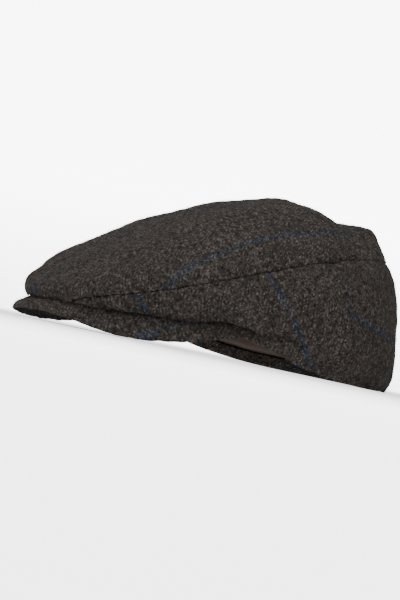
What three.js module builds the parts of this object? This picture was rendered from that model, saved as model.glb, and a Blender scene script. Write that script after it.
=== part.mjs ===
// A flat cap of tweed. A soft crown, sewn from a top panel and two side panels, overhangs a short
// stiff peak. A turned hem runs round the head opening, and a thin lining fills the inside.
//
// Millimetres. +Z is up, the peak points to -Y and the wearer's left is +X. The origin lies on the
// surface that the cap rests on, under the middle of its length. A turn is an angle in degrees about
// the upright axis through the crown: 0 is the front, 90 the wearer's left, -90 the right, 180 the back.
import * as THREE from "three";
import { mergeVertices } from "three/addons/utils/BufferGeometryUtils.js";

const { clamp, degToRad, lerp, smoothstep } = THREE.MathUtils;

// Driving dimensions
const LENGTH = 260; // tip of the peak to the back of the crown
const CROWN_WIDTH = 185;
const CROWN_SETBACK = 6; // tip of the peak to the front of the crown, seen from above
const AXIS_Y = 30; // the crown's axis, at its widest station
const HEAD_LENGTH = 204; // head opening, at the outside of the cloth
const HEAD_WIDTH = 168;
const HEAD_Y = 27;
const PEAK_WIDTH = 169;
const PEAK_ROOT_Y = -30; // the peak's widest station
const PEAK_END = 65; // turn at which the peak runs out along the head opening
const RIM_BLEND = 8; // turn over which the crown's edge comes down from the peak to the rim

// Cloth and gaps
const TWEED = 2; // wall of the crown panels
const PEAK_COVER = 2.2; // upper and under half of the covered peak, each
const HEM_WALL = 1.8;
const HEM_HEIGHT = 8;
const LINING_WALL = 1;
const LINING_DROP = 6; // how far the lining hangs under the crown
const LINING_SQUARENESS = 4.6;
const SEAM_GAP = 0.3;
const EDGE_GAP = 0.6; // between the crown's edge and the peak under it

// Plan outlines. The crown is a squarish oval about its axis, longer in front. The head opening and
// the peak are plain ovals about a centre of their own.
const CROWN_FRONT = { halfLength: LENGTH / 2 - CROWN_SETBACK + AXIS_Y, squareness: 2.3 };
const CROWN_BACK = { halfLength: LENGTH / 2 - AXIS_Y, squareness: 2.1 };
const HEAD = { y: HEAD_Y, halfWidth: HEAD_WIDTH / 2, halfLength: HEAD_LENGTH / 2 };
const PEAK = { y: PEAK_ROOT_Y, halfWidth: PEAK_WIDTH / 2, halfLength: LENGTH / 2 + PEAK_ROOT_Y };

// Upright sections of the crown. waist is the height of the widest line, tuck how far the lower edge
// lies from that line (0) to the head opening (1), out and up the squareness of the dome, and seam
// the height at which the panels meet. In front the seam runs out below the crown's edge.
const CROWN_SECTIONS = table("turn waist tuck out up seam", [
  [0, 19, 0.08, 2.15, 2.4, 2],
  [15, 22, 0.12, 2.15, 2.4, 16.2],
  [30, 31.5, 0.25, 2.2, 2.4, 27.6],
  [45, 37, 0.4, 2.25, 2.2, 41],
  [60, 38, 0.7, 2.35, 2.1, 54.2],
  [75, 35.5, 1, 2.45, 2, 64.5],
  [90, 31, 1, 2.65, 1.85, 72.4],
  [120, 22.5, 1, 3.5, 1.65, 81.5],
  [150, 14.5, 1, 4.8, 1.5, 84],
  [180, 12.5, 1, 5, 1.5, 84],
]);

// Height that the crown climbs to, along the cap
const CREST = table("y height", [
  [-160, 4],
  [-124, 35.5],
  [-90, 64.5],
  [-50, 84.5],
  [-10, 99.5],
  [30, 110],
  [55, 111],
  [160, 111],
]);

// Dents across the top of the crown
const DENTS = table("y spread depth", [[64, 16, 8]]);

// Creases in the sides of the crown, one on each side
const CREASES = table("turn turnSpread height heightSpread depth", [[74, 12, 22.5, 5, 4]]);

// Heights of the head opening's rim and of the peak's edge, both at the underside, and how far the
// peak bows up between them
const RIM_SECTIONS = table("turn rim peak camber", [
  [0, 13, 4, 6.5],
  [15, 13, 3.5, 7.5],
  [30, 13, -0.8, 8.5],
  [45, 14, 3.3, 6],
  [60, 15.5, 12.4, 3.2],
  [75, 11.5, 11.5, 0.5],
  [90, 5.2, 5.2, 0],
  [105, 2.3, 2.3, 0],
  [120, 0.5, 0.5, 0],
  [140, 0, 0, 0],
  [180, 0, 0, 0],
]);

// Facets. The crown's panels share their columns, so that the seams between them match.
const COLUMN_TURN = 5;
const PEAK_COLUMN_TURN = 2.5;
const LINING_COLUMN_TURN = 7.5;
const TOP_ROWS = 12;
const SIDE_ROWS = 8;
const PEAK_ROWS = 6;
const HEM_ROWS = 2;
const LINING_ROWS = 10;
const SIDE_FRONT = 15; // turn at which the side panels start
const BACK_SEAM = 179.9; // turn at which they stop, just short of each other

// Measuring on the crown
const STEP = 0.02; // turn and rise over which a direction is measured
const TOP_RISE = 0.995; // rise above which the crown faces straight up
const HALVINGS = 24; // steps in the search for a height

// Cloth colours
const TWEED_FINISH = { color: 0x3a3734, roughness: 0.95, metalness: 0 };
const LINING_FINISH = { color: 0x352f2c, roughness: 0.6, metalness: 0 };

function table(columns, rows) {
  const names = columns.split(" ");
  return rows.map((row) => Object.fromEntries(names.map((name, i) => [name, row[i]])));
}

// A table's values between its rows, smooth through every row and level at both ends
function rowAt(rows, at) {
  const [key] = Object.keys(rows[0]);
  const last = rows.length - 1;
  const inside = clamp(at, rows[0][key], rows[last][key]);
  const next = rows.findIndex((row, i) => i > 0 && inside <= row[key]);
  const [a, b] = [rows[next - 1], rows[next]];
  const span = b[key] - a[key];
  const f = (inside - a[key]) / span;
  const rise = (i, name) => {
    if (i === 0 || i === last) return 0;
    return ((rows[i + 1][name] - rows[i - 1][name]) / (rows[i + 1][key] - rows[i - 1][key])) * span;
  };
  const made = {};
  for (const name of Object.keys(a)) {
    const [start, change] = [a[name], b[name] - a[name]];
    const [from, to] = [rise(next - 1, name), rise(next, name)];
    made[name] = start + f * (from + f * (3 * change - 2 * from - to + f * (from + to - 2 * change)));
  }
  return made;
}

const bell = (offset, spread) => Math.exp(-((offset / spread) ** 2));

// A point at a distance from the crown's axis
function place(turn, distance, height) {
  const angle = degToRad(turn);
  return new THREE.Vector3(distance * Math.sin(angle), AXIS_Y - distance * Math.cos(angle), height);
}

// Distance from the axis to a plain oval
function reach(oval, turn) {
  const [s, c] = [Math.sin(degToRad(turn)), Math.cos(degToRad(turn))];
  const offset = (AXIS_Y - oval.y) / oval.halfLength;
  const square = (s / oval.halfWidth) ** 2 + (c / oval.halfLength) ** 2;
  const half = (offset * c) / oval.halfLength;
  return (half + Math.sqrt(half * half - square * (offset * offset - 1))) / square;
}

// Distance from the axis to the crown's widest line
function crownReach(turn) {
  const [s, c] = [Math.sin(degToRad(turn)), Math.cos(degToRad(turn))];
  const { halfLength, squareness } = c > 0 ? CROWN_FRONT : CROWN_BACK;
  const across = Math.abs(s / (CROWN_WIDTH / 2)) ** squareness;
  const along = Math.abs(c / halfLength) ** squareness;
  return (across + along) ** (-1 / squareness);
}

// Height of the crown's outside, above its widest line
function crownHeight(turn, distance) {
  const section = rowAt(CROWN_SECTIONS, Math.abs(turn));
  const inward = 1 - Math.min(1, distance / crownReach(turn)) ** section.out;
  const y = place(turn, distance, 0).y;
  const crest = rowAt(CREST, y).height;
  const dent = DENTS.reduce((sum, row) => sum + row.depth * bell(y - row.y, row.spread), 0);
  return lerp(section.waist, crest, inward ** (1 / section.up)) - dent * inward;
}

// Height of the peak's underside, at a share of the way from the head opening to its edge
function peakHeight(turn, share) {
  const section = rowAt(RIM_SECTIONS, Math.abs(turn));
  const bow = section.camber * 4 * share * (1 - share);
  return Math.max(0, lerp(section.rim, section.peak, share) + bow);
}

const PEAK_THICKNESS = 2 * PEAK_COVER + SEAM_GAP;
const rimHeight = (turn) => Math.max(0, rowAt(RIM_SECTIONS, Math.abs(turn)).rim);

// Height of the crown's lower edge: on top of the peak in front, and down at the rim behind it
function edgeHeight(turn, distance) {
  const from = reach(HEAD, turn);
  const share = clamp((distance - from) / (reach(PEAK, turn) - from), 0, 1);
  const onPeak = peakHeight(turn, share) + PEAK_THICKNESS + EDGE_GAP;
  return lerp(onPeak, rimHeight(turn), smoothstep(Math.abs(turn), PEAK_END, PEAK_END + RIM_BLEND));
}

// The crown's outside: rise is -1 at the lower edge, 0 at the widest line and 1 at the top
function crownPoint(turn, rise) {
  const section = rowAt(CROWN_SECTIONS, Math.abs(turn));
  const widest = crownReach(turn);
  if (rise > 0) {
    const distance = widest * Math.cos((rise * Math.PI) / 2) ** (2 / section.out);
    return place(turn, distance, crownHeight(turn, distance));
  }
  const edge = lerp(widest, reach(HEAD, turn), section.tuck);
  const height = lerp(section.waist, edgeHeight(turn, edge), -rise);
  let distance = lerp(widest, edge, rise * rise);
  for (const crease of CREASES) {
    const near = bell(Math.abs(turn) - crease.turn, crease.turnSpread);
    distance -= crease.depth * near * bell(height - crease.height, crease.heightSpread);
  }
  return place(turn, distance, height);
}

// The crown's outward direction
function crownNormal(turn, rise) {
  if (rise > TOP_RISE) return new THREE.Vector3(0, 0, 1);
  const around = crownPoint(turn + STEP, rise).sub(crownPoint(turn - STEP, rise));
  const up = crownPoint(turn, rise + STEP).sub(crownPoint(turn, Math.max(-1, rise - STEP)));
  return around.cross(up).normalize();
}

const crownInside = (turn, rise) => crownPoint(turn, rise).addScaledVector(crownNormal(turn, rise), -TWEED);

// The seam between top and side panels, found by halving and then moved along the cloth
function seamRise(turn, moved) {
  const { seam } = rowAt(CROWN_SECTIONS, Math.abs(turn));
  let [low, high] = [-1, 1];
  for (let i = 0; i < HALVINGS; i += 1) {
    const middle = (low + high) / 2;
    if (crownPoint(turn, middle).z < seam) low = middle;
    else high = middle;
  }
  if (high <= STEP - 1) return -1;
  const pace = crownPoint(turn, low + STEP).distanceTo(crownPoint(turn, low)) / STEP;
  return low + moved / pace;
}

// A closed wall between two grids of points. The grids are functions of a row and a column, and a
// loop joins the last column to the first.
function wall(rows, columns, loop, outer, inner) {
  const across = loop ? columns : columns + 1;
  const side = (rows + 1) * across;
  const points = [outer, inner].flatMap((grid) =>
    Array.from({ length: side }, (_, k) => grid(Math.floor(k / across) / rows, (k % across) / columns)),
  );
  const quads = [];
  const outerAt = (i, j) => i * across + (j % across);
  const innerAt = (i, j) => side + outerAt(i, j);
  for (let i = 0; i < rows; i += 1) {
    for (let j = 0; j < columns; j += 1) {
      quads.push([outerAt(i, j), outerAt(i, j + 1), outerAt(i + 1, j + 1), outerAt(i + 1, j)]);
      quads.push([innerAt(i, j), innerAt(i + 1, j), innerAt(i + 1, j + 1), innerAt(i, j + 1)]);
    }
  }
  for (let j = 0; j < columns; j += 1) {
    quads.push([innerAt(0, j), innerAt(0, j + 1), outerAt(0, j + 1), outerAt(0, j)]);
    quads.push([outerAt(rows, j), outerAt(rows, j + 1), innerAt(rows, j + 1), innerAt(rows, j)]);
  }
  for (let i = 0; i < rows && !loop; i += 1) {
    quads.push([outerAt(i, 0), outerAt(i + 1, 0), innerAt(i + 1, 0), innerAt(i, 0)]);
    quads.push([innerAt(i, columns), innerAt(i + 1, columns), outerAt(i + 1, columns), outerAt(i, columns)]);
  }
  return closedGeometry(points, quads);
}

// A mesh of quads with shared corners, each split along its shorter diagonal, without the faces that
// close up to nothing
function closedGeometry(points, quads) {
  const loose = new THREE.BufferGeometry().setFromPoints(points);
  const split = ([a, b, c, d]) => {
    const straight = points[a].distanceTo(points[c]) <= points[b].distanceTo(points[d]);
    return straight ? [a, b, c, a, c, d] : [a, b, d, b, c, d];
  };
  loose.setIndex(quads.flatMap(split));
  const merged = mergeVertices(loose);
  const index = merged.getIndex().array;
  const kept = [];
  for (let k = 0; k < index.length; k += 3) {
    const [a, b, c] = index.slice(k, k + 3);
    if (a !== b && b !== c && c !== a) kept.push(a, b, c);
  }
  merged.setIndex(kept);
  merged.computeVertexNormals();
  return merged;
}

const cap = new THREE.Group();

function add(name, geometry, finish) {
  const mesh = new THREE.Mesh(geometry, new THREE.MeshStandardMaterial(finish));
  mesh.name = name;
  cap.add(mesh);
}

const fullTurn = (share) => lerp(-180, 180, share);

// Top panel: one piece from the seam, and from the crown's front edge, up to the top
function topPanel() {
  const rise = (up, turn) => lerp(seamRise(turn, SEAM_GAP / 2), 1, up);
  const outer = (up, round) => crownPoint(fullTurn(round), rise(up, fullTurn(round)));
  const inner = (up, round) => crownInside(fullTurn(round), rise(up, fullTurn(round)));
  return wall(TOP_ROWS, 360 / COLUMN_TURN, true, outer, inner);
}

// Side panel: from a taper at the front to the seam at the middle of the back
function sidePanel(side) {
  const [from, to] = side > 0 ? [SIDE_FRONT, 180] : [-180, -SIDE_FRONT];
  const turnAt = (round) => clamp(lerp(from, to, round), -BACK_SEAM, BACK_SEAM);
  const rise = (up, turn) => lerp(-1, seamRise(turn, -SEAM_GAP / 2), up);
  const outer = (up, round) => crownPoint(turnAt(round), rise(up, turnAt(round)));
  const inner = (up, round) => crownInside(turnAt(round), rise(up, turnAt(round)));
  return wall(SIDE_ROWS, (180 - SIDE_FRONT) / COLUMN_TURN, false, outer, inner);
}

// Half of the covered peak, between two heights above its underside
function peakHalf(low, high) {
  const turnAt = (round) => lerp(-PEAK_END, PEAK_END, round);
  const surface = (lift) => (back, round) => {
    const turn = turnAt(round);
    const distance = lerp(reach(PEAK, turn), reach(HEAD, turn) - TWEED, back);
    return place(turn, distance, peakHeight(turn, 1 - back) + lift);
  };
  return wall(PEAK_ROWS, (2 * PEAK_END) / PEAK_COLUMN_TURN, false, surface(high), surface(low));
}

// Turned hem: a band inside the head opening
function hem() {
  const surface = (inset) => (up, round) => {
    const turn = fullTurn(round);
    return place(turn, reach(HEAD, turn) - TWEED - SEAM_GAP - inset, rimHeight(turn) + up * HEM_HEIGHT);
  };
  return wall(HEM_ROWS, 360 / COLUMN_TURN, true, surface(0), surface(HEM_WALL));
}

// Lining: a thin dome from the top of the hem to just under the crown
function lining() {
  const surface = (inset) => (up, round) => {
    const turn = fullTurn(round);
    const foot = reach(HEAD, turn) - TWEED - 2 * SEAM_GAP - inset;
    const base = rimHeight(turn) + HEM_HEIGHT + SEAM_GAP;
    const q = (up * Math.PI) / 2;
    const distance = foot * Math.cos(q) ** (2 / LINING_SQUARENESS);
    const top = crownHeight(turn, distance) - LINING_DROP - inset;
    return place(turn, distance, lerp(base, top, Math.sin(q) ** (2 / LINING_SQUARENESS)));
  };
  return wall(LINING_ROWS, 360 / LINING_COLUMN_TURN, true, surface(0), surface(LINING_WALL));
}

add("crown_top_panel", topPanel(), TWEED_FINISH);
add("crown_side_left", sidePanel(1), TWEED_FINISH);
add("crown_side_right", sidePanel(-1), TWEED_FINISH);
add("peak_upper", peakHalf(PEAK_COVER + SEAM_GAP, PEAK_THICKNESS), TWEED_FINISH);
add("peak_under", peakHalf(0, PEAK_COVER), TWEED_FINISH);
add("rim_hem", hem(), TWEED_FINISH);
add("lining", lining(), LINING_FINISH);

export default cap;
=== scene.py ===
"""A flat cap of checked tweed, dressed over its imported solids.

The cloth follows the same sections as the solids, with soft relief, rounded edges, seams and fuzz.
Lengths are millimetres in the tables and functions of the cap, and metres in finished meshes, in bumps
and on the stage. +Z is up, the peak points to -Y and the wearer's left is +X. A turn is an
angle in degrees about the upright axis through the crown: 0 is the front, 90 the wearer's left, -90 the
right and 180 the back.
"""
import math

import bpy
import numpy as np
from mathutils import Matrix, Vector


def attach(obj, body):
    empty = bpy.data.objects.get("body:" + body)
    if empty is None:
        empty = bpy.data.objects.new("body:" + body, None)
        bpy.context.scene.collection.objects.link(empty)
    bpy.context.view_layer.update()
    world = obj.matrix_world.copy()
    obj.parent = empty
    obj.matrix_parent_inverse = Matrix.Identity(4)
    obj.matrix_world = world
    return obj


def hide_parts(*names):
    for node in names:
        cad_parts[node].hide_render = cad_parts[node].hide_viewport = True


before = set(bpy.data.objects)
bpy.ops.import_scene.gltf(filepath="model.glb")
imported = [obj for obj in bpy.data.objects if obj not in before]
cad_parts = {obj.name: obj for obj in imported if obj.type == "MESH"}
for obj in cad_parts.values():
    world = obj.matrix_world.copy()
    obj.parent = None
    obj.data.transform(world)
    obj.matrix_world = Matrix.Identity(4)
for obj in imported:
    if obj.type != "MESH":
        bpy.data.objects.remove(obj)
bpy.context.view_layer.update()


def table(columns, rows):
    """Named columns of a short table."""
    return dict(zip(columns.split(), np.array(rows, float).T))


# Driving sizes
MM = 0.001
LENGTH = 260
CROWN_WIDTH = 185
CROWN_SETBACK = 6  # of the crown's front behind the peak's
AXIS_Y = 30  # where the upright axis stands
HEAD_LENGTH = 204
HEAD_WIDTH = 168
HEAD_Y = 27
HEAD_RADIUS = (HEAD_LENGTH + HEAD_WIDTH) / 4  # of a round opening about as long around
PEAK_WIDTH = 169
PEAK_ROOT_Y = -30
PEAK_END = 65  # turn at which the crown's edge starts to leave the peak
RIM_BLEND = 8  # turns over which it drops to the rim
TWEED = 2
PEAK_COVER = 2.2
HEM_WALL = 1.8
HEM_HEIGHT = 8
LINING_WALL = 1
LINING_DROP = 6  # of the lining's top below the crown's outside
LINING_SQUARENESS = 4.6
SEAM_GAP = 0.3
EDGE_GAP = 0.6  # between the peak and the crown's edge above it
PEAK_THICKNESS = 2 * PEAK_COVER + SEAM_GAP

# Form of the cap, as in the solids
CROWN_FRONT = {"half_length": LENGTH / 2 - CROWN_SETBACK + AXIS_Y, "squareness": 2.3}
CROWN_BACK = {"half_length": LENGTH / 2 - AXIS_Y, "squareness": 2.1}
HEAD = {"y": HEAD_Y, "half_width": HEAD_WIDTH / 2, "half_length": HEAD_LENGTH / 2}
PEAK = {"y": PEAK_ROOT_Y, "half_width": PEAK_WIDTH / 2, "half_length": LENGTH / 2 + PEAK_ROOT_Y}
CROWN_SECTIONS = table("turn waist tuck out up seam", [
    [0, 19, 0.08, 2.15, 2.4, 2],
    [15, 22, 0.12, 2.15, 2.4, 16.2],
    [30, 31.5, 0.25, 2.2, 2.4, 27.6],
    [45, 37, 0.4, 2.25, 2.2, 41],
    [60, 38, 0.7, 2.35, 2.1, 54.2],
    [75, 35.5, 1, 2.45, 2, 64.5],
    [90, 31, 1, 2.65, 1.85, 72.4],
    [120, 22.5, 1, 3.5, 1.65, 81.5],
    [150, 14.5, 1, 4.8, 1.5, 84],
    [180, 12.5, 1, 5, 1.5, 84],
])
CREST = table("y height", [
    [-160, 4],
    [-124, 35.5],
    [-90, 64.5],
    [-50, 84.5],
    [-10, 99.5],
    [30, 110],
    [55, 111],
    [160, 111],
])
RIM_SECTIONS = table("turn rim peak camber", [
    [0, 13, 4, 6.5],
    [15, 13, 3.5, 7.5],
    [30, 13, -0.8, 8.5],
    [45, 14, 3.3, 6],
    [60, 15.5, 12.4, 3.2],
    [75, 11.5, 11.5, 0.5],
    [90, 5.2, 5.2, 0],
    [105, 2.3, 2.3, 0],
    [120, 0.5, 0.5, 0],
    [140, 0, 0, 0],
    [180, 0, 0, 0],
])
TOP_DENT = {"y": 64, "spread": 16, "depth": 8}
TEMPLE_CREASE = {"turn": 74, "turn_spread": 12, "height": 22.5, "height_spread": 5, "depth": 4}

# Grids of corners
CROWN_COLUMNS = 360
SIDE_COLUMNS = 168
PEAK_COLUMNS = 190
LINING_COLUMNS = 240
TOP_ROWS = 92
SIDE_ROWS = 54
PEAK_ROWS = 40
LINING_ROWS = 60
HEM_ROWS = 6
HIDDEN_STEP = 4  # one in so many of the top panel's hidden rows is kept
EDGE_STEPS = np.array([0, 0.15, 0.45, 1.0, 2.0])  # distances of the close rows beside a cut edge
SHORT_COLUMN = 3 * EDGE_STEPS[-1]  # on columns shorter than this the close rows move together
DENSE = 240  # samples along a column before it is divided evenly
HALF_ROUND = np.linspace(0, 180, 721)  # close turns from the front to the back
HALVINGS = 24
NORMAL_STEP = 0.01
TINY = 1e-12
UP = np.array([0, 0, 1])

# Cloth edges and seams
EDGE_ROUND = 1.1
# round is the distance over which cloth rounds off at a seam, and hide one that makes its painted shade
# fainter
SEAM_EDGE = table("turn round hide", [
    [0, 1.3, 0],
    [50, 1.4, 0],
    [70, 2.4, 0],
    [110, 2.4, 0.3],
    [135, 1, 1.3],
    [160, 0.8, 1.1],
    [180, 0.8, 0.3],
])
SEAM_DIP = {"depth": 0.7, "spread": 5}
SEAM_PUCKER = {"depth": 0.35, "spread": 9, "pitch": 15, "drift": 11}
NO_SEAM = 100  # a distance at which a seam has no effect
TAPER_END = -0.995  # rise of the seam where the side panels run out in front
TOP_EDGE = -0.999  # rise below which the top panel ends in the crown's own edge

# Soft relief
SOFT_WAVES = {"count": 26, "short": 24, "long": 70, "height": 0.6, "seed": 4}
FINE_WAVES = {"count": 40, "short": 5, "long": 12, "height": 0.15, "seed": 9}
PEAK_SOFTNESS = 0.4  # share of the soft waves that the stiff peak shows
HEM_SOFTNESS = 0.5
GATHERS = {"count": 44, "sway": 2, "sways": 5, "depth": 0.9, "height": 9, "spread": 12}
LINING_CENTRE = np.array([0, HEAD_Y, 30.0])

# A valley pressed into the crown, from one point to another
VALLEY_START = np.array([86.0, 30, 62])
VALLEY_END = np.array([76.0, 45, 77])
VALLEY = {"width": 4, "depth": 2.4}

# The crown's lip carries on past the end of the peak as a fold in the side panel
LIP = {"height": 22.5, "edge": 0.9, "end": (78, 100)}
LIP_OUT = {"most": 1.7, "fall": 7, "start": (52, 62)}
LIP_IN = {"most": 2.2, "fall": 3.6, "start": (63, 71)}

# Places pressed out or in: a corner at the back, the flatter cloth below and above it, and the brow
PRESSES = table("turn turn_spread rise rise_spread height", [
    [156, 16, 0.755, 0.05, 2.0],
    [154, 22, 0.54, 0.13, -1.4],
    [172, 16, 0.875, 0.05, -1.2],
    [0, 24, -1.0, 0.45, 1.8],
])

# The peak's cloth, with a slight twist in its edge, as it holds from wear
PEAK_BEND = table("turn lift", [
    [-30, 0],
    [-24, -0.8],
    [-18, -2.2],
    [-12, -1.6],
    [-4, 0],
    [2, 0.6],
    [8, 1.3],
    [14, 0.7],
    [22, 0],
])
BEND_POWER = 4  # keeps the twist near the edge
PEAK_TIP = 69  # turns at which the peak's upper and under cloth run out into the rim
UNDER_TIP = 62
UNDER_INSET = 3.4  # of the under cloth behind the peak's edge
PEAK_WRAP = (2.4, 3.2)  # distances from the edge between which the wrapped cloth thins to one layer
END_TAPER = 3  # how much longer than the edge's rounding the taper at the peak's ends is
MM_PER_TURN = 1.5  # length of a degree of turn at the peak's ends

# Blue check lines
CHECK_PITCH = 77  # from one line to the next in the values that the tweed reads
# spread is how far the top panel's outer lines lie from its middle one, along the panel laid flat
CHECK_SPREAD = table("along spread", [[-130, 93], [-80, 84.5], [-25, 75.5], [18, 63.5], [54, 37], [130, 14]])
CHECK_LAST = 1.45  # pitches from the middle, past which the top panel has no more lines
FRONT_CHECK = {"lean": 0.4, "at": 84.3}  # the side's first line: how far it leans, and where it is
SIDE_CHECK = {"lean": 1, "at": 186}  # the side's second line
SIDE_CHECK_BLEND = (100, 150)  # lengths round the side between which the first gives way to the second
BACK_CHECK_UP = 16.5  # height of the back's line above the crown's widest line
BACK_CHECK_TURN = (97, 106)  # turns between which the side's lines give way to the back's
PEAK_CHECK = 75  # from one of the peak's lines to the next
RIGHT_CUT = 431  # how far along the cloth the right side panel is cut from the left one

# Loose fibres
FUZZ_PIECES = ("top_cloth", "side_left_cloth", "side_right_cloth", "peak_upper_cloth")
FUZZ_COUNT = 12000
FUZZ_LENGTH = (0.9, 2.6)
FUZZ_WIDTH = 0.14
FUZZ_LIFT = 0.55  # share of a fibre's direction that is straight out of the cloth
FUZZ_BEND = 0.7
FUZZ_BELLY = 0.4  # how far along a fibre is thickest
FUZZ_SEED = 21
FUZZ_SIDES = np.radians([0, 120, 240])
FUZZ_CORNERS = np.array([[0, 2, 1], [0, 3, 2], [0, 1, 3], [4, 1, 2], [4, 2, 3], [4, 3, 1]])
FUZZ_PATCH = np.array([[0.1, 0.1], [0.9, 0.1], [0.1, 0.9]])  # a face's corners in its own square of paint
ASKEW = (0.01, 0.02, 0.03)  # keeps two directions from being the same
INSIDE = np.array([0, 10.0, 10.0])  # a point under the cloth, to tell its outside from its lining side

# Look of the tweed
# a gain is what a noise is multiplied by, and what is then added to it
YARN = 0.78  # pitch of the weave
YARN_DRIFT = {"scale": 0.09, "detail": 2}
YARN_WANDER = (2.4, 2.4, 0)  # how far the drift takes yarns off their straight lines
TWILL_REPEAT = 4
TWILL_OVER = 1.5  # the warp is on top in the first two places of a repeat
FLECK = 3.2  # length of a yarn's light and dark stretches
FLECK_STARTS = 7  # each yarn starts at its own place in so many stretches
WEFT_SEED = 517
DYE_SEED = 91
TONE_SHARES = {"yarn": 0.66, "cell": 0.22, "weft": 0.12}
TWEED_COLOURS = [
    (0.12, (0.0115, 0.0105, 0.0096)),
    (0.35, (0.0205, 0.0184, 0.0166)),
    (0.60, (0.0355, 0.0310, 0.0275)),
    (0.80, (0.0600, 0.0522, 0.0465)),
    (0.97, (0.0900, 0.0790, 0.0710)),
]
RUST = {"above": 0.95, "share": 0.55, "colour": (0.040, 0.022, 0.015, 1)}
TEAL = {"below": 0.03, "share": 0.5, "colour": (0.012, 0.022, 0.030, 1)}
BLUE_COLOURS = [
    (0.12, (0.0080, 0.0112, 0.0170)),
    (0.60, (0.0180, 0.0262, 0.0410)),
    (0.95, (0.0500, 0.0680, 0.0930)),
]
BLUE_SHARE = 0.85
CHECK_HALF_WIDTH = 2.3
CHECK_SOFTNESS = 0.6
CHECK_SHARE = 0.55  # share of a check line's yarns that are dyed
CHECK_WEAR = {"scale": 0.06, "detail": 1}
CHECK_WEAR_GAIN = (2.4, -0.3)
PATCHES = {"scale": 0.035, "detail": 3}
PATCH_GAIN = (0.44, 0.66)
CLUMPS = {"scale": 0.32, "detail": 2}
CLUMP_GAIN = (2.1, -0.05)
SEAM_BREAK = {"by": 6.5, "from": 2.65}  # how far clumps move the seam's painted shade off, to break its line
SEAM_PAINTED_SHADE = {"low": 0.2, "high": 1.5, "first": 0.25, "last": 1}  # painted shade in the seam's ditch: brightness by distance to the seam
FIBRES = {"scale": 2.2, "detail": 4, "roughness": 0.7}
WEAVE_BUMP = {"Strength": 0.6, "Distance": 0.0003}
WOOL_ROUGHNESS = 0.95
TWEED_GLOSS = 0.05

# Look of the lining and the fuzz
THREADS = {"scale": 1.0, "detail": 3}
THREAD_STRETCH = (6, 0.6)  # how much finer the threads are across than along
THREAD_SHARE = 0.6
CLOUDS = {"scale": 0.05, "detail": 2}
CLOUD_SHARE = 0.4
LINING_COLOURS = [(0.3, (0.040, 0.028, 0.021)), (0.7, (0.060, 0.043, 0.033))]
LINING_BUMP = {"Strength": 0.25, "Distance": 0.0002}
ROUGHNESS_GAIN = (0.2, 0.4)  # of the clouds
LINING_GLOSS = 0.2
FUZZ_SPOTS = {"scale": 300.0, "detail": 1}
FUZZ_COLOURS = [(0.35, (0.012, 0.011, 0.010)), (0.65, (0.075, 0.067, 0.060))]
FUZZ_GLOSS = 0.1

# Stage, light and camera
CAMERA = {"azimuth": 63.5, "elevation": -1.4, "roll": 12, "distance": 1600, "pixels_per_mm": 1.519}
TARGET = np.array([0, 24, 45.0])
TARGET_PIXEL = (246.5, 293.55)
IMAGE = (400, 600)
SENSOR = 36.0
NEAREST = 0.005  # the camera stands close above the floor
WHITE = (1, 1, 1, 1)
STAGE_ROUGHNESS = 0.9
FLOOR_RADIUS = 30
FLOOR_CORNERS = 96
FLOOR_SPOTS = {"Scale": 3.0, "Detail": 2}
FLOOR_COLOURS = [(0.2, (0.90, 0.90, 0.90)), (0.8, (0.92, 0.92, 0.92))]
FLOOR_GLOW = {"inside": 1.7, "near": 0.5, "far": 3.6}
FLOOR_OPENING = (0.07, 0.10)  # distances between which the glow in the head opening ends
FLOOR_REACH = (0.3, 1.0)  # distances between which the floor brightens
SKY_GLOW = 0.2
BACKDROP = {"width": 1.6, "height": 1.0, "away": 3.0, "colour": (0.9, 0.9, 0.9, 1)}
BACKDROP_GLOW = (2.0, 6.0)
BACKDROP_FOOT = 0.25  # height at which the glow is full
TOP_LIGHT = {"size": (1.6, 1.6), "power": 47, "spread": 180}
TOP_LIGHT_PLACE = (0.2, -0.3, 1.55)
LOW_LIGHT = {"size": (1.4, 0.14), "power": 1.2, "spread": 40}
LOW_LIGHT_PLACE = {"turn": 38, "away": 1.9, "height": 0.09}
LIGHT_AIM = Vector((0, 0, 0.04))


# Curves

def row_at(rows, name, at):
    """A column's values between the rows, smooth through every row and level at both ends."""
    x = rows[next(iter(rows))]
    v = rows[name]
    slope = np.zeros(len(x))
    slope[1:-1] = (v[2:] - v[:-2]) / (x[2:] - x[:-2])
    at = np.clip(at, x[0], x[-1])
    i = np.clip(np.searchsorted(x, at, side="right") - 1, 0, len(x) - 2)
    span = x[i + 1] - x[i]
    f = (at - x[i]) / span
    change = v[i + 1] - v[i]
    start, end = slope[i] * span, slope[i + 1] * span
    return v[i] + f * (start + f * (3 * change - 2 * start - end + f * (start + end - 2 * change)))


def lerp(a, b, f):
    return a + (b - a) * f


def bell(offset, spread):
    return np.exp(-((offset / spread) ** 2))


def arch(share):
    """A parabola that is 0 at shares 0 and 1, and 1 halfway."""
    return 4 * share * (1 - share)


def smoothstep(x, low, high):
    f = np.clip((x - low) / (high - low), 0, 1)
    return f * f * (3 - 2 * f)


def unit(v):
    return v / np.maximum(np.linalg.norm(v, axis=-1, keepdims=True), TINY)


def travelled(points):
    """Length from the first row of points to each row, along every column."""
    steps = np.linalg.norm(np.diff(points, axis=0), axis=-1)
    return np.concatenate([np.zeros((1, *steps.shape[1:])), np.cumsum(steps, axis=0)])


def full_round(columns):
    """Turns all the way round, with the back at both ends."""
    return np.linspace(-180, 180, columns + 1)


# Form of the cap

def place(turn, distance, height):
    """A point at a distance from the crown's axis."""
    angle = np.radians(turn)
    x = distance * np.sin(angle)
    y = AXIS_Y - distance * np.cos(angle)
    return np.stack(np.broadcast_arrays(x, y, height), -1).astype(float)


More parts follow.
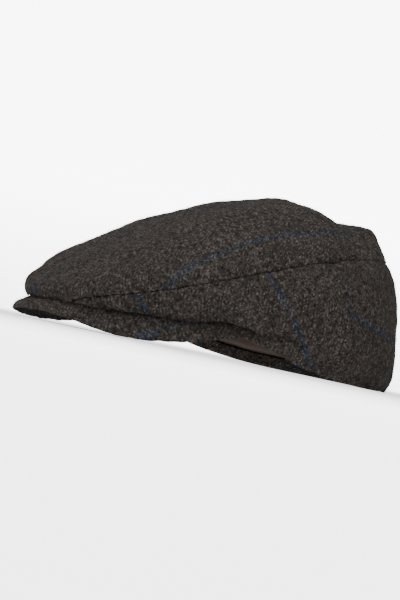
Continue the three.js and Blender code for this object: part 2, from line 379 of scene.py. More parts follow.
def reach(oval, turn):
    """Distance from the axis to a plain oval."""
    s, c = np.sin(np.radians(turn)), np.cos(np.radians(turn))
    offset = (AXIS_Y - oval["y"]) / oval["half_length"]
    square = (s / oval["half_width"]) ** 2 + (c / oval["half_length"]) ** 2
    half = offset * c / oval["half_length"]
    return (half + np.sqrt(half * half - square * (offset * offset - 1))) / square


def crown_reach(turn):
    """Distance from the axis to the crown's widest line."""
    s, c = np.sin(np.radians(turn)), np.cos(np.radians(turn))
    half_length = np.where(c > 0, CROWN_FRONT["half_length"], CROWN_BACK["half_length"])
    squareness = np.where(c > 0, CROWN_FRONT["squareness"], CROWN_BACK["squareness"])
    across = np.abs(s / (CROWN_WIDTH / 2)) ** squareness
    along = np.abs(c / half_length) ** squareness
    return (across + along) ** (-1 / squareness)


def crown_height(turn, distance):
    """Height of the crown's outside, above its widest line."""
    at = np.abs(turn)
    out = row_at(CROWN_SECTIONS, "out", at)
    inward = 1 - np.minimum(1, distance / crown_reach(turn)) ** out
    y = place(turn, distance, 0)[..., 1]
    dent = TOP_DENT["depth"] * bell(y - TOP_DENT["y"], TOP_DENT["spread"])
    climb = inward ** (1 / row_at(CROWN_SECTIONS, "up", at))
    return lerp(row_at(CROWN_SECTIONS, "waist", at), row_at(CREST, "height", y), climb) - dent * inward


def rim_height(turn):
    return np.maximum(0, row_at(RIM_SECTIONS, "rim", np.abs(turn)))


def peak_height(turn, share):
    """Height of the peak's underside, at a share of the way from the head opening to its edge."""
    at = np.abs(turn)
    bow = row_at(RIM_SECTIONS, "camber", at) * arch(share)
    return np.maximum(0, lerp(rim_height(at), row_at(RIM_SECTIONS, "peak", at), share) + bow)


def edge_height(turn, distance):
    """Height of the crown's lower edge: on top of the peak in front, and at the rim behind it."""
    start = reach(HEAD, turn)
    share = np.clip((distance - start) / (reach(PEAK, turn) - start), 0, 1)
    on_peak = peak_height(turn, share) + PEAK_THICKNESS + EDGE_GAP
    return lerp(on_peak, rim_height(turn), smoothstep(np.abs(turn), PEAK_END, PEAK_END + RIM_BLEND))


def crown_point(turn, rise):
    """The crown's outside: rise is -1 at the lower edge, 0 at the widest line and 1 at the top."""
    turn, rise = np.broadcast_arrays(np.asarray(turn, float), np.asarray(rise, float))
    at = np.abs(turn)
    widest = crown_reach(turn)
    quarter = np.clip(rise, 0, 1) * np.pi / 2
    upper = widest * np.abs(np.cos(quarter)) ** (2 / row_at(CROWN_SECTIONS, "out", at))
    edge = lerp(widest, reach(HEAD, turn), row_at(CROWN_SECTIONS, "tuck", at))
    fall = np.clip(-rise, 0, 1)
    low = lerp(row_at(CROWN_SECTIONS, "waist", at), edge_height(turn, edge), fall)
    near = bell(at - TEMPLE_CREASE["turn"], TEMPLE_CREASE["turn_spread"])
    near = near * bell(low - TEMPLE_CREASE["height"], TEMPLE_CREASE["height_spread"])
    lower = lerp(widest, edge, fall * fall) - TEMPLE_CREASE["depth"] * near
    distance = np.where(rise > 0, upper, lower)
    return place(turn, distance, np.where(rise > 0, crown_height(turn, upper), low))


def crown_normal(turn, rise):
    """The crown's outward direction."""
    around = crown_point(turn + NORMAL_STEP, rise) - crown_point(turn - NORMAL_STEP, rise)
    above, below = np.minimum(rise + NORMAL_STEP, 1), np.maximum(rise - NORMAL_STEP, -1)
    normal = unit(np.cross(around, crown_point(turn, above) - crown_point(turn, below)))
    normal[rise > 1 - NORMAL_STEP] = UP
    return normal


def seam_rise(turn):
    """The rise of the seam between top and side panels, found by halving."""
    seam = row_at(CROWN_SECTIONS, "seam", np.abs(turn))
    low, high = np.full(len(turn), -1.0), np.ones(len(turn))
    for _ in range(HALVINGS):
        middle = (low + high) / 2
        below = crown_point(turn, middle)[..., 2] < seam
        low, high = np.where(below, middle, low), np.where(below, high, middle)
    return low


def seam_around(turn):
    """Length along the seam at each turn, from the front."""
    return np.interp(np.abs(turn), HALF_ROUND, travelled(crown_point(HALF_ROUND, seam_rise(HALF_ROUND))))


# Columns divided by length, and soft relief

def even_rows(surface, low, high, count, top_edge):
    """Evenly spaced rises on each column, with close rows beside the cut edges.

    Gives the rises, the distance of each from the column's foot, and the columns' lengths.
    """
    rises = lerp(low, high, np.linspace(0, 1, DENSE)[:, None])
    along = travelled(surface(rises))
    length = along[-1]
    close = np.outer(EDGE_STEPS, np.minimum(1, length / SHORT_COLUMN))
    last = length - close[-1] if top_edge else length
    rows = [close[:-1], lerp(close[-1], last, np.linspace(0, 1, count)[:, None])]
    if top_edge:
        rows.append(length - close[-2::-1])
    wanted = np.concatenate(rows)
    found = np.stack([np.interp(wanted[:, j], along[:, j], rises[:, j]) for j in range(len(low))], 1)
    return found, wanted, length


def waves(points, count, short, long, height, seed):
    """Smooth unevenness: a sum of plane waves in seeded directions."""
    rng = np.random.default_rng(seed)
    total = np.zeros(points.shape[:-1])
    for _ in range(count):
        direction = unit(rng.normal(size=3))
        pitch = rng.uniform(short, long)
        total += np.sin(points @ direction * (2 * np.pi / pitch) + rng.uniform(0, 2 * np.pi))
    return total * height * math.sqrt(2 / count)


def valley_depth(points):
    """Depth of the pressed valley at each point."""
    run = VALLEY_END - VALLEY_START
    share = np.clip((points - VALLEY_START) @ run / (run @ run), 0, 1)
    offset = points - lerp(VALLEY_START, VALLEY_END, share[..., None])
    return VALLEY["depth"] * bell(np.linalg.norm(offset, axis=-1), VALLEY["width"])


def press_height(turn, rise):
    """Height of the pressed places."""
    height = np.zeros(rise.shape)
    for at, turn_spread, level, rise_spread, most in zip(*PRESSES.values()):
        height += most * bell(np.abs(turn) - at, turn_spread) * bell(rise - level, rise_spread)
    return height


def lip_relief(turn, height):
    """How far the lip's fold stands out above its line and in below it."""
    below = LIP["height"] - height
    under = smoothstep(below, -LIP["edge"], LIP["edge"])

    def part(size):
        return size["most"] * bell(below, size["fall"]) * smoothstep(np.abs(turn), *size["start"])

    return lerp(part(LIP_OUT), -part(LIP_IN), under) * (1 - smoothstep(np.abs(turn), *LIP["end"]))


def crown_relief(points, seam_distance, around):
    """How far the cloth stands out of the crown's plain form."""
    pucker = np.sin(2 * np.pi * around / SEAM_PUCKER["pitch"] + np.sin(around / SEAM_PUCKER["drift"]))
    relief = waves(points, **SOFT_WAVES) + waves(points, **FINE_WAVES) - valley_depth(points)
    relief -= SEAM_DIP["depth"] * bell(seam_distance, SEAM_DIP["spread"])
    relief += SEAM_PUCKER["depth"] * pucker * bell(seam_distance, SEAM_PUCKER["spread"])
    return relief


def rounding(distance, over=EDGE_ROUND):
    """Share of the cloth's thickness that is left near a cut edge."""
    inward = np.clip(distance / over, 0, 1)
    return np.sqrt(1 - (1 - inward) ** 2)


def both_sides(points, outward, top, thickness, left):
    """Outer and inner side of a cloth with its top at a height over the points, thin at its edges."""
    outer = points + outward * (top - thickness / 2 * (1 - left))[..., None]
    inner = points + outward * (top - thickness / 2 * (1 + left))[..., None]
    return outer, inner


# Meshes

def grid_faces(ids, uv, loop, flip):
    """Quads between a grid's rows and columns, with a UV for each corner.

    A quad at a corner of a sheet is cut in two from that corner inward. Cut the other way, one half
    would have all its corners on the sheet's edge, where both sides of the cloth meet.
    """
    columns = ids.shape[1] if loop else ids.shape[1] - 1
    i, j = np.meshgrid(np.arange(ids.shape[0] - 1), np.arange(columns), indexing="ij")
    i, j = i.ravel(), j.ravel()
    corners = [(i, j), (i, j + 1), (i + 1, j + 1), (i + 1, j)]
    if flip:
        corners = corners[::-1]
    quads = np.stack([ids[a, b % ids.shape[1]] for a, b in corners], 1)
    corner_uv = np.stack([uv[a, b] for a, b in corners], 1)
    if loop:
        return quads, corner_uv
    ends = np.array([[0], [columns - 1], [len(quads) - columns], [len(quads) - 1]])
    first = np.array([[1], [0], [0], [1]]) if flip else np.array([[0], [1], [1], [0]])
    all_quads, all_uv = [np.delete(quads, ends, 0)], [np.delete(corner_uv, ends, 0)]
    for half in ([0, 1, 2, 2], [0, 2, 3, 3]):
        kept = (first + half) % 4
        all_quads.append(quads[ends, kept])
        all_uv.append(corner_uv[ends, kept])
    return np.concatenate(all_quads), np.concatenate(all_uv)


def shell(name, outer, inner, uv, check, seam=None, loop=False, pole=False, inner_step=1):
    """A closed wall of cloth between two grids that meet at the cut edges.

    A loop joins the last column to the first, and a pole closes the last row to a point. The hidden
    side keeps the rows beside the edges and each inner_step-th row between them. check and seam are
    distances that the tweed reads: across the check lines, and to the nearest seam.
    """
    rows, columns = outer.shape[:2]
    outer_ids = np.arange(rows * columns).reshape(rows, columns)
    inner_ids = outer_ids + rows * columns
    shared = np.zeros((rows, columns), bool)
    shared[0] = True
    shared[-1] = not pole
    if not loop:
        shared[:, [0, -1]] = True
    inner_ids[shared] = outer_ids[shared]
    if pole:
        outer_ids[-1] = outer_ids[-1, 0]
        inner_ids[-1] = inner_ids[-1, 0]
    edge = len(EDGE_STEPS)
    kept = [i for i in range(rows) if i < edge or i >= rows - edge or i % inner_step == 0]
    sides = [grid_faces(outer_ids, uv, loop, False), grid_faces(inner_ids[kept], uv[kept], loop, True)]
    quads = np.concatenate([side[0] for side in sides])
    corner_uv = np.concatenate([side[1] for side in sides])
    used, quads = np.unique(quads, return_inverse=True)
    quads = quads.reshape(-1, 4)
    points = np.concatenate([outer.reshape(-1, 3), inner.reshape(-1, 3)])[used]
    if seam is None:
        seam = np.full(check.shape, NO_SEAM)
    marks = {"check": np.tile(check.ravel(), 2)[used], "seam": np.tile(seam.ravel(), 2)[used]}
    return mesh_object(name, points, quads, corner_uv, marks)


def mesh_object(name, points, quads, corner_uv, marks):
    """A smooth mesh from quads, with those that close to a point as triangles."""
    keep = quads != np.roll(quads, -1, axis=1)
    faces = [quad[mask].tolist() for quad, mask in zip(quads, keep)]
    mesh = bpy.data.meshes.new(name)
    mesh.from_pydata((points * MM).tolist(), [], faces)
    layer = mesh.uv_layers.new(name="cloth")
    layer.uv.foreach_set("vector", corner_uv[keep].astype(np.float32).ravel())
    for mark, values in marks.items():
        attribute = mesh.attributes.new(mark, "FLOAT", "POINT")
        attribute.data.foreach_set("value", values.astype(np.float32))
    mesh.polygons.foreach_set("use_smooth", np.ones(len(faces), bool))
    mesh.update()
    return linked(name, mesh)


def linked(name, data):
    """A new object in the scene."""
    item = bpy.data.objects.new(name, data)
    bpy.context.scene.collection.objects.link(item)
    return item


# Pieces

def top_panel():
    """The one-piece top of the crown, laid flat from its summit for the weave."""
    turn = full_round(CROWN_COLUMNS)[:-1]
    low = seam_rise(turn)
    rise, along, length = even_rows(lambda r: crown_point(turn, r), low, np.ones(len(turn)), TOP_ROWS, False)
    seam_distance = along + SEAM_GAP / 2
    # in front the panel runs down to the crown's own edge, with no seam
    seam = seam_distance + NO_SEAM * (low <= TOP_EDGE)
    points, normals = crown_point(turn, rise), crown_normal(turn, rise)
    relief = crown_relief(points, seam, seam_around(turn)) + press_height(turn, rise)
    left = rounding(along, row_at(SEAM_EDGE, "round", np.abs(turn)))
    outer, inner = both_sides(points, normals, relief, TWEED, left)
    radius = length - seam_distance
    u, v = radius * np.sin(np.radians(turn)), -radius * np.cos(np.radians(turn))
    check = np.clip(u / row_at(CHECK_SPREAD, "spread", v), -CHECK_LAST, CHECK_LAST) * CHECK_PITCH
    uv = np.stack([u, v], -1)
    uv = np.concatenate([uv, uv[:, :1]], 1)
    # hide makes the painted seam shade fainter towards the back
    seam = seam + row_at(SEAM_EDGE, "hide", np.abs(turn))
    return shell("top_cloth", outer, inner, uv, check, seam, loop=True, pole=True, inner_step=HIDDEN_STEP)


def side_weave(turn, rise, along):
    """A side panel's places on the cloth, cut on the bias, and its distances across the check lines."""
    around = np.interp(turn, HALF_ROUND, travelled(crown_point(HALF_ROUND, 0)))
    up = along - np.array([np.interp(0, rise[:, j], along[:, j]) for j in range(len(turn))])
    uv = np.stack([around + up, around - up], -1) / math.sqrt(2)
    first = around + FRONT_CHECK["lean"] * up - FRONT_CHECK["at"]
    second = CHECK_PITCH + (around + SIDE_CHECK["lean"] * up - SIDE_CHECK["at"]) / math.sqrt(2)
    check = lerp(first, second, smoothstep(around, *SIDE_CHECK_BLEND))
    check = lerp(check, 2 * CHECK_PITCH + up - BACK_CHECK_UP, smoothstep(turn, *BACK_CHECK_TURN))
    return uv, check


def side_panel(name, side):
    """A side panel, from a taper at the front to the seam at the middle of the back."""
    close = np.degrees(EDGE_STEPS / CROWN_BACK["half_length"])
    front = HALF_ROUND[np.argmax(seam_rise(HALF_ROUND) > TAPER_END)]
    back = 180 - np.degrees(SEAM_GAP / 2 / CROWN_BACK["half_length"])
    turn = np.concatenate([np.linspace(front, back - close[-1], SIDE_COLUMNS), back - close[-2::-1]])
    low = np.full(len(turn), -1.0)
    rise, along, length = even_rows(lambda r: crown_point(turn, r), low, seam_rise(turn), SIDE_ROWS, True)
    points, normals = crown_point(turn, rise), crown_normal(turn, rise)
    seam_distance = length - along
    relief = crown_relief(points * (side, 1, 1), seam_distance, seam_around(turn)) + press_height(turn, rise)
    relief += lip_relief(turn, points[..., 2])
    # the back seam runs out flat at the hem
    to_back = np.radians(back - turn) * CROWN_BACK["half_length"]
    above_hem = smoothstep(along, HEM_HEIGHT, 2 * HEM_HEIGHT)
    relief -= SEAM_DIP["depth"] * bell(to_back, SEAM_DIP["spread"]) * above_hem
    seam = np.minimum(seam_distance, to_back)
    left = np.minimum(rounding(along), rounding(seam, row_at(SEAM_EDGE, "round", turn)))
    # both sides of the cloth meet where the panel runs out in front
    left[:, 0] = 0
    outer, inner = both_sides(points, normals, relief, TWEED, left)
    outer[..., 2] = np.maximum(outer[..., 2], 0)
    inner[..., 2] = np.maximum(inner[..., 2], 0)
    uv, check = side_weave(turn, rise, along)
    # hide makes the painted seam shade fainter towards the back
    seam = seam + row_at(SEAM_EDGE, "hide", turn)
    if side < 0:
        outer, inner = outer[:, ::-1] * (-1, 1, 1), inner[:, ::-1] * (-1, 1, 1)
        uv, check, seam = uv[:, ::-1] + RIGHT_CUT, check[:, ::-1], seam[:, ::-1]
    return shell(name, outer, inner, uv, check, seam)


def peak_grid(inset, end):
    """Turns and shares over the peak, from a rounded edge back to the head opening."""
    close = EDGE_STEPS / MM_PER_TURN
    middle = np.linspace(close[-1] - end, end - close[-1], PEAK_COLUMNS)
    turn = np.concatenate([close[:-1] - end, middle, end - close[-2::-1]])
    far, near = reach(PEAK, turn) - inset, reach(HEAD, turn) - TWEED
    edge = EDGE_STEPS[:-1, None] * np.ones(len(turn))
    steps = np.concatenate([edge, lerp(EDGE_STEPS[-1], far - near, np.linspace(0, 1, PEAK_ROWS)[:, None])])
    distance = far - steps
    share = np.clip((distance - near) / (reach(PEAK, turn) - near), 0, 1)
    ends = (end - np.abs(turn)) * MM_PER_TURN
    return turn, distance, share, np.minimum(steps, ends / END_TAPER)


def bent_height(turn, share):
    """Height of the peak's underside with its edge twisted."""
    return np.maximum(0, peak_height(turn, share) + row_at(PEAK_BEND, "lift", turn) * share ** BEND_POWER)


def unrolled(points):
    """Plan places of a grid with each column laid out flat from its last row."""
    root, direction = points[-1, :, :2], unit(points[0, :, :2] - points[-1, :, :2])
    return root + direction * travelled(points[::-1])[::-1, :, None]


def peak_upper():
    """Upper half of the covered peak, whose cloth wraps round the edge."""
    turn, distance, share, to_edge = peak_grid(0, PEAK_TIP)
    points = place(turn, distance, bent_height(turn, share) + PEAK_THICKNESS)
    points[..., 2] += waves(points, **FINE_WAVES) + PEAK_SOFTNESS * waves(points, **SOFT_WAVES)
    thickness = lerp(PEAK_THICKNESS, PEAK_COVER, smoothstep(to_edge, *PEAK_WRAP))
    left = rounding(to_edge, PEAK_THICKNESS / 2)
    left[-1] = 0
    outer, inner = both_sides(points, UP, 0, thickness, left)
    check = points[..., 0] * CHECK_PITCH / PEAK_CHECK
    return shell("peak_upper_cloth", outer, inner, unrolled(outer), check)


def peak_under():
    """Under half of the covered peak, let in behind the wrapped edge."""
    turn, distance, share, to_edge = peak_grid(UNDER_INSET, UNDER_TIP)
    points = place(turn, distance, bent_height(turn, share))
    points[..., 2] += PEAK_SOFTNESS * waves(points, **SOFT_WAVES)
    points[..., 2] = np.maximum(points[..., 2], 0)
    left = rounding(to_edge)
    left[-1] = 0
    outer, inner = both_sides(points, UP, PEAK_COVER, PEAK_COVER, left)
    # the lines lie half a pitch aside of the upper half's
    check = (points[..., 0] / PEAK_CHECK + 0.5) * CHECK_PITCH
    return shell("peak_under_cloth", outer, inner, unrolled(inner), check)


def hem():
    """Tweed turned in round the head opening."""
    turns = full_round(CROWN_COLUMNS)
    turn = turns[:-1]
    body = np.linspace(EDGE_STEPS[-1], HEM_HEIGHT - EDGE_STEPS[-1], HEM_ROWS)
    up = np.concatenate([EDGE_STEPS[:-1], body, HEM_HEIGHT - EDGE_STEPS[-2::-1]])[:, None]
    left = rounding(np.minimum(up, HEM_HEIGHT - up))
    foot = reach(HEAD, turn) - TWEED - SEAM_GAP
    height = rim_height(turn) + up
    middle = place(turn, foot - HEM_WALL / 2, height)
    wave = waves(middle, **FINE_WAVES) + HEM_SOFTNESS * waves(middle, **SOFT_WAVES)
    outer = place(turn, foot - HEM_WALL / 2 * (1 - left), height)
    inner = place(turn, foot - HEM_WALL / 2 * (1 + left) - np.abs(wave) * left, height)
    u, v = np.broadcast_arrays(np.radians(turns) * HEAD_RADIUS, up)
    return shell("hem_cloth", outer, inner, np.stack([u, v], -1), u[:, :-1], loop=True)


def lining():
    """A smooth lining from the top of the hem to under the crown, gathered above the hem."""
    turns = full_round(LINING_COLUMNS)
    turn = turns[:-1]
    foot = reach(HEAD, turn) - TWEED - 2 * SEAM_GAP
    base = rim_height(turn) + HEM_HEIGHT + SEAM_GAP

    def surface(rise):
        quarter = rise * np.pi / 2
        distance = foot * np.abs(np.cos(quarter)) ** (2 / LINING_SQUARENESS)
        top = crown_height(turn, distance) - LINING_DROP
        return place(turn, distance, lerp(base, top, np.sin(quarter) ** (2 / LINING_SQUARENESS)))

    low, high = np.zeros(len(turn)), np.ones(len(turn))
    rise, along, _ = even_rows(surface, low, high, LINING_ROWS, False)
    points = surface(rise)
    inward = unit(LINING_CENTRE - points)
    left = rounding(along, LINING_WALL)
    angle = np.radians(turn)
    sway = GATHERS["sway"] * np.sin(angle * GATHERS["sways"])
    gathers = GATHERS["depth"] * (1 + np.sin(angle * GATHERS["count"] + sway)) / 2
    folds = gathers * bell(along - GATHERS["height"], GATHERS["spread"]) + np.abs(waves(points, **SOFT_WAVES))
    inner = points + inward * ((LINING_WALL + folds) * left)[..., None]
    outer = points + inward * (LINING_WALL / 2 * (1 - left))[..., None]
    first = np.concatenate([along, along[:, :1]], 1)
    uv = np.stack([np.broadcast_to(np.radians(turns) * HEAD_RADIUS, first.shape), first], -1)
    return shell("lining_cloth", outer, inner, uv, np.zeros(along.shape), loop=True, pole=True)


# Loose fibres

def cloth_faces(pieces):
    """Centres, outward normals and areas of the faces that show on the outside, in millimetres."""
    def read(name, width):
        values = []
        for piece in pieces:
            flat = np.zeros(len(piece.data.polygons) * width, np.float32)
            piece.data.polygons.foreach_get(name, flat)
            values.append(flat.reshape(-1, width))
        return np.concatenate(values).astype(float)

    centre, normal, area = read("center", 3) / MM, read("normal", 3), read("area", 1)[:, 0] / MM ** 2
    outside = ((centre - INSIDE) * normal).sum(1) > 0
    return centre[outside], normal[outside], area[outside]


def fuzz(pieces):
    """Loose fibres on the outside of the cloth: bent spindles, joined in one mesh."""
    rng = np.random.default_rng(FUZZ_SEED)
    centre, normal, area = cloth_faces(pieces)
    chosen = rng.choice(len(area), FUZZ_COUNT, p=area / area.sum())
    length = rng.uniform(*FUZZ_LENGTH, (FUZZ_COUNT, 1))
    lean = unit(rng.normal(size=(FUZZ_COUNT, 3)))
    direction = unit(normal[chosen] * FUZZ_LIFT + lean * (1 - FUZZ_LIFT))
    onward = unit(direction + unit(rng.normal(size=(FUZZ_COUNT, 3))) * FUZZ_BEND)
    root = centre[chosen]
    middle = root + direction * length * FUZZ_BELLY
    tip = middle + onward * length * (1 - FUZZ_BELLY)
    across = unit(np.cross(direction, lean + ASKEW))
    other = np.cross(direction, across)
    belly = [middle + (across * math.cos(a) + other * math.sin(a)) * FUZZ_WIDTH / 2 for a in FUZZ_SIDES]
    points = np.stack([root, *belly, tip], 1)
    points[..., 2] = np.maximum(points[..., 2], 0)
    faces = (points.shape[1] * np.arange(FUZZ_COUNT)[:, None, None] + FUZZ_CORNERS).reshape(-1, 3)
    mesh = bpy.data.meshes.new("wool_fuzz")
    mesh.from_pydata((points.reshape(-1, 3) * MM).tolist(), [], faces.tolist())
    # each face has a square of its own to be painted in
    side = math.ceil(math.sqrt(len(faces)))
    cell = np.stack(np.divmod(np.arange(len(faces)), side), 1)
    layer = mesh.uv_layers.new(name="OFBake")
    layer.uv.foreach_set("vector", ((cell[:, None] + FUZZ_PATCH) / side).astype(np.float32).ravel())
    piece = linked("wool_fuzz", mesh)
    piece.data.materials.append(fuzz_material())
    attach(piece, "root")


# Materials

class Graph:
    """A material's nodes, added by short calls."""

    def __init__(self, name):
        self.material = bpy.data.materials.new(name)
        self.material.use_nodes = True
        self.tree = self.material.node_tree
        self.shader = self.tree.nodes["Principled BSDF"]

    def put(self, socket, value):
        if isinstance(value, bpy.types.NodeSocket):
            self.tree.links.new(value, socket)
        else:
            socket.default_value = value

    def add(self, kind, inputs=None, **settings):
        node = self.tree.nodes.new(kind)
        for key, value in settings.items():
            setattr(node, key, value)
        for key, value in (inputs or {}).items():
            self.put(node.inputs[key], value)
        return node

    def math(self, operation, *values):
        inputs = dict(enumerate(values))
        return self.add("ShaderNodeMath", inputs, operation=operation).outputs[0]

    def vector(self, operation, inputs, output=0):
        return self.add("ShaderNodeVectorMath", inputs, operation=operation).outputs[output]

    def pair(self, x, y):
        return self.add("ShaderNodeCombineXYZ", {"X": x, "Y": y}).outputs[0]

    def split(self, vector):
        return list(self.add("ShaderNodeSeparateXYZ", {0: vector}).outputs)

    def cloth(self):
        """Places on the cloth laid flat, in millimetres."""
        return self.add("ShaderNodeUVMap", uv_map="cloth").outputs[0]

    def here(self):
        """Places on the object, in metres."""
        return self.add("ShaderNodeTexCoord").outputs["Object"]

    def mark(self, name):
        """A value that the mesh carries at its corners."""
        return self.add("ShaderNodeAttribute", attribute_name=name).outputs["Fac"]

    def noise(self, vector, output=0, **settings):
        inputs = {key.capitalize(): value for key, value in settings.items()}
        return self.add("ShaderNodeTexNoise", {"Vector": vector, **inputs}).outputs[output]

    def random(self, x, y):
        """A value of its own for each pair of whole numbers."""
        inputs = {"Vector": self.pair(x, y)}
        return self.add("ShaderNodeTexWhiteNoise", inputs, noise_dimensions="2D").outputs[0]

    def ranged(self, value, low, high, first, last):
        """From the first number to the last as a value goes from low to high."""
        inputs = {"Value": value, "From Min": low, "From Max": high, "To Min": first, "To Max": last}
        return self.add("ShaderNodeMapRange", inputs).outputs[0]

    def mix(self, share, a, b):
        # the node has sockets for other kinds of value too, so those for colours go by number
        inputs = {0: share, 6: a, 7: b}
        node = self.add("ShaderNodeMix", data_type="RGBA")
        for key, value in inputs.items():
            self.put(node.inputs[key], value)
        return node.outputs[2]

    def ramp(self, share, stops):
        node = self.add("ShaderNodeValToRGB", {"Fac": share})
        elements = node.color_ramp.elements
        while len(elements) < len(stops):
            elements.new(0.5)
        for element, (position, colour) in zip(elements, stops):
            element.position = position
            element.color = (*colour, 1)
        return node.outputs["Color"]

    def bump(self, height, settings):
        return self.add("ShaderNodeBump", {"Height": height, **settings}).outputs[0]

    def finish(self, **values):
        for key, value in values.items():
            self.put(self.shader.inputs[key.replace("_", " ")], value)
        return self.material


def twill(g, cloth):
    """The yarns' rows and columns, how light each yarn is, and the weave's relief."""
    drift = g.vector("MULTIPLY", {0: g.noise(cloth, "Color", **YARN_DRIFT), 1: YARN_WANDER})
    u, v, _ = g.split(g.vector("ADD", {0: cloth, 1: drift}))
    x, y = g.math("DIVIDE", u, YARN), g.math("DIVIDE", v, YARN)
    column, row = g.math("FLOOR", x), g.math("FLOOR", y)
    in_repeat = g.math("FLOORED_MODULO", g.math("ADD", column, row), TWILL_REPEAT)
    over = g.math("LESS_THAN", in_repeat, TWILL_OVER)
    under = g.math("SUBTRACT", 1, over)

    def on_top(warp, weft):
        return g.math("ADD", g.math("MULTIPLY", warp, over), g.math("MULTIPLY", weft, under))

    def yarn_tone(index, along, seed):
        yarn = g.math("ADD", index, seed)
        start = g.add("ShaderNodeTexWhiteNoise", {"W": yarn}, noise_dimensions="1D").outputs[0]
        stretch = g.math("ADD", g.math("DIVIDE", along, FLECK), g.math("MULTIPLY", start, FLECK_STARTS))
        return g.random(yarn, g.math("FLOOR", stretch))

    def hump(value):
        return g.math("SINE", g.math("MULTIPLY", g.math("FRACT", value), math.pi))

    yarns = on_top(yarn_tone(column, v, 0), yarn_tone(row, u, WEFT_SEED))
    tone = g.math("MULTIPLY", yarns, TONE_SHARES["yarn"])
    tone = g.math("ADD", tone, g.math("MULTIPLY", g.random(column, row), TONE_SHARES["cell"]))
    tone = g.math("ADD", tone, g.math("MULTIPLY", under, TONE_SHARES["weft"]))
    return row, column, tone, on_top(hump(x), hump(y))


def dyed(g, cloth, row, column):
    """Which yarns are blue: about half of those near a check line, and fewer where it is worn."""
    offset = g.math("ABSOLUTE", g.math("WRAP", g.mark("check"), CHECK_PITCH / 2, -CHECK_PITCH / 2))
    edge = (CHECK_HALF_WIDTH - CHECK_SOFTNESS, CHECK_HALF_WIDTH + CHECK_SOFTNESS)
    near = g.ranged(offset, *edge, CHECK_SHARE, 0)
    worn = g.math("MULTIPLY_ADD", g.noise(cloth, **CHECK_WEAR), *CHECK_WEAR_GAIN)
    chance = g.random(row, g.math("ADD", column, DYE_SEED))
    return g.math("LESS_THAN", chance, g.math("MULTIPLY", near, worn))


def mottle_and_painted_seam_shade(g, cloth):
    """Uneven brightness: wide patches and small clumps of tone, and painted shade in broken lines along the
    seams.
    """
    patch = g.math("MULTIPLY_ADD", g.noise(cloth, **PATCHES), *PATCH_GAIN)
    clump = g.noise(cloth, **CLUMPS)
    shade = g.math("MULTIPLY", patch, g.math("MULTIPLY_ADD", clump, *CLUMP_GAIN))
    # painted shade in the seam's ditch, darkest at the seam and broken by the clumps
    off_seam = g.math("SUBTRACT", g.mark("seam"), SEAM_BREAK["from"])
    broken = g.math("MULTIPLY_ADD", clump, SEAM_BREAK["by"], off_seam)
    return g.math("MULTIPLY", shade, g.ranged(broken, **SEAM_PAINTED_SHADE))


def tweed_material():
    """Marled twill in charcoal, brown and grey, with blue yarns at the check lines."""
    g = Graph("tweed")
    cloth = g.cloth()
    row, column, tone, relief = twill(g, cloth)
    hue = g.random(row, column)
    rust = g.math("MULTIPLY", g.math("GREATER_THAN", hue, RUST["above"]), RUST["share"])
    teal = g.math("MULTIPLY", g.math("LESS_THAN", hue, TEAL["below"]), TEAL["share"])
    blue = g.math("MULTIPLY", dyed(g, cloth, row, column), BLUE_SHARE)
    colour = g.mix(rust, g.ramp(tone, TWEED_COLOURS), RUST["colour"])
    colour = g.mix(teal, colour, TEAL["colour"])
    colour = g.mix(blue, colour, g.ramp(tone, BLUE_COLOURS))
    # the tone's random patches and clumps, times the painted seam shade
    colour = g.vector("SCALE", {0: colour, "Scale": mottle_and_painted_seam_shade(g, cloth)})
    bump = g.bump(g.math("ADD", relief, g.noise(cloth, **FIBRES)), WEAVE_BUMP)
    return g.finish(Base_Color=colour, Roughness=WOOL_ROUGHNESS, Normal=bump, Specular_IOR_Level=TWEED_GLOSS)


def lining_material():
    """Smooth brown lining: a fine plain weave with a low sheen."""
    g = Graph("lining")
    cloth = g.cloth()
    across, along, _ = g.split(cloth)
    fine, coarse = THREAD_STRETCH
    stretched = g.pair(g.math("MULTIPLY", across, fine), g.math("MULTIPLY", along, coarse))
    thread = g.noise(stretched, **THREADS)
    cloud = g.noise(cloth, **CLOUDS)
    tone = g.math("MULTIPLY_ADD", thread, THREAD_SHARE, g.math("MULTIPLY", cloud, CLOUD_SHARE))
    rough = g.math("MULTIPLY_ADD", cloud, *ROUGHNESS_GAIN)
    return g.finish(Base_Color=g.ramp(tone, LINING_COLOURS), Roughness=rough,
                    Normal=g.bump(thread, LINING_BUMP), Specular_IOR_Level=LINING_GLOSS)


def fuzz_material():
    """Loose wool in the tweed's own light and dark shades."""
    g = Graph("fuzz")
    colour = g.ramp(g.noise(g.here(), **FUZZ_SPOTS), FUZZ_COLOURS)
    return g.finish(Base_Color=colour, Roughness=WOOL_ROUGHNESS, Specular_IOR_Level=FUZZ_GLOSS)


def floor_material():
    """A pale floor that glows as a light table does: in the head opening, and more at a distance."""
    g = Graph("floor")
    spots = g.add("ShaderNodeTexNoise", FLOOR_SPOTS).outputs[0]
    away = g.vector("DISTANCE", {0: g.here(), 1: (0, HEAD_Y * MM, 0)}, "Value")
    inside = g.ranged(away, *FLOOR_OPENING, FLOOR_GLOW["inside"], FLOOR_GLOW["near"])
    glow = g.ranged(away, *FLOOR_REACH, inside, FLOOR_GLOW["far"])
    return g.finish(Base_Color=g.ramp(spots, FLOOR_COLOURS), Roughness=STAGE_ROUGHNESS,
                    Specular_IOR_Level=0.0, Emission_Color=WHITE, Emission_Strength=glow)


def backdrop_material():
    """A glowing screen, dimmer near the floor."""
    g = Graph("backdrop")
    _, _, height = g.split(g.here())
    glow = g.ranged(height, 0, BACKDROP_FOOT, *BACKDROP_GLOW)
    return g.finish(Base_Color=BACKDROP["colour"], Roughness=STAGE_ROUGHNESS,
                    Specular_IOR_Level=0.0, Emission_Color=WHITE, Emission_Strength=glow)


def dress(piece, node, material):
    """Gives a cloth piece its finish and its place in the frame, and hides the solid that it dresses."""
    piece.data.materials.append(material)
    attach(piece, "root")
    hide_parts(node)


# Stage, light and camera

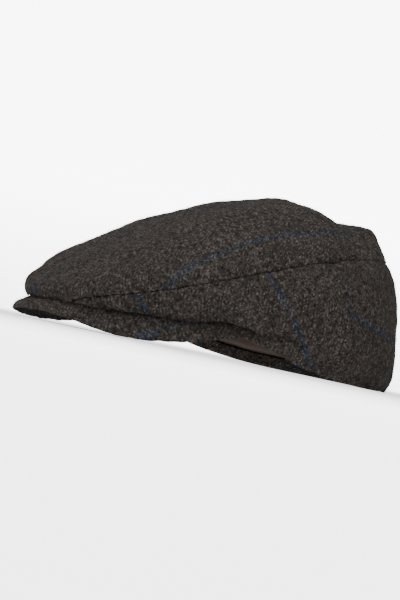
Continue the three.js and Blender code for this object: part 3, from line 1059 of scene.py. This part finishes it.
def add_camera():
    """A camera at the photo's angle, turned aside so that the cap lies where it does in the photo."""
    azimuth, elevation, roll = (math.radians(CAMERA[key]) for key in ("azimuth", "elevation", "roll"))
    level_back = np.array([math.sin(azimuth), -math.cos(azimuth), 0])
    back = level_back * math.cos(elevation) + UP * math.sin(elevation)
    level = unit(np.cross(-back, UP))
    upright = np.cross(level, -back)
    right = level * math.cos(roll) + upright * math.sin(roll)
    up = upright * math.cos(roll) - level * math.sin(roll)
    eye = TARGET + back * CAMERA["distance"]
    aside = (TARGET_PIXEL[0] - IMAGE[0] / 2) / CAMERA["pixels_per_mm"]
    above = (IMAGE[1] / 2 - TARGET_PIXEL[1]) / CAMERA["pixels_per_mm"]
    look = unit(TARGET - right * aside - up * above - eye)
    across = unit(np.cross(look, up))
    matrix = Matrix.Identity(4)
    for k, axis in enumerate((across, np.cross(across, look), -look, eye * MM)):
        matrix.col[k][:3] = axis
    camera = linked("camera", bpy.data.cameras.new("camera"))
    camera.data.sensor_width = SENSOR
    camera.data.clip_start = NEAREST
    camera.data.lens = SENSOR * CAMERA["distance"] * CAMERA["pixels_per_mm"] / max(IMAGE)
    camera.matrix_world = matrix
    bpy.context.scene.camera = camera


def add_light(name, stand, size, power, spread):
    """A soft rectangular light that faces the cap, spread over an angle in degrees."""
    light = bpy.data.lights.new(name, "AREA")
    light.shape = "RECTANGLE"
    light.size, light.size_y = size
    light.energy = power
    light.spread = math.radians(spread)
    lamp = linked(name, light)
    lamp.location = stand
    lamp.rotation_mode = "QUATERNION"
    lamp.rotation_quaternion = (LIGHT_AIM - Vector(stand)).to_track_quat("-Z", "Y")


def add_stage_mesh(name, points, material):
    """One flat face that isn't part of the cap."""
    mesh = bpy.data.meshes.new(name)
    mesh.from_pydata(points, [], [list(range(len(points)))])
    mesh.materials.append(material)
    stage = linked(name, mesh)
    return stage


def around_cap(turn, away, height):
    """A place on the stage, at a distance from the middle of the cap."""
    angle = math.radians(turn)
    return (away * math.sin(angle), -away * math.cos(angle), height)


def add_stage():
    """A wide pale floor, a bright screen behind the cap, and soft lights above it and low in front."""
    ring = [around_cap(turn, FLOOR_RADIUS, 0) for turn in np.linspace(0, 360, FLOOR_CORNERS, endpoint=False)]
    add_stage_mesh("floor", ring, floor_material())
    half, height = BACKDROP["width"] / 2, BACKDROP["height"]
    corners = [(-half, 0, 0), (half, 0, 0), (half, 0, height), (-half, 0, height)]
    screen = add_stage_mesh("backdrop", corners, backdrop_material())
    screen.location = around_cap(CAMERA["azimuth"], -BACKDROP["away"], 0)
    screen.rotation_euler = (0, 0, math.radians(CAMERA["azimuth"]))
    world = bpy.data.worlds.new("studio")
    world.use_nodes = True
    sky = world.node_tree.nodes["Background"]
    sky.inputs["Color"].default_value = WHITE
    sky.inputs["Strength"].default_value = SKY_GLOW
    bpy.context.scene.world = world
    add_light("top_light", TOP_LIGHT_PLACE, **TOP_LIGHT)
    add_light("low_light", around_cap(**LOW_LIGHT_PLACE), **LOW_LIGHT)


TWEED_LOOK = tweed_material()
LINING_LOOK = lining_material()
add_camera()
add_stage()
dress(top_panel(), "crown_top_panel", TWEED_LOOK)
dress(side_panel("side_left_cloth", 1), "crown_side_left", TWEED_LOOK)
dress(side_panel("side_right_cloth", -1), "crown_side_right", TWEED_LOOK)
dress(peak_upper(), "peak_upper", TWEED_LOOK)
dress(peak_under(), "peak_under", TWEED_LOOK)
dress(hem(), "rim_hem", TWEED_LOOK)
dress(lining(), "lining", LINING_LOOK)
fuzz([bpy.data.objects[name] for name in FUZZ_PIECES])
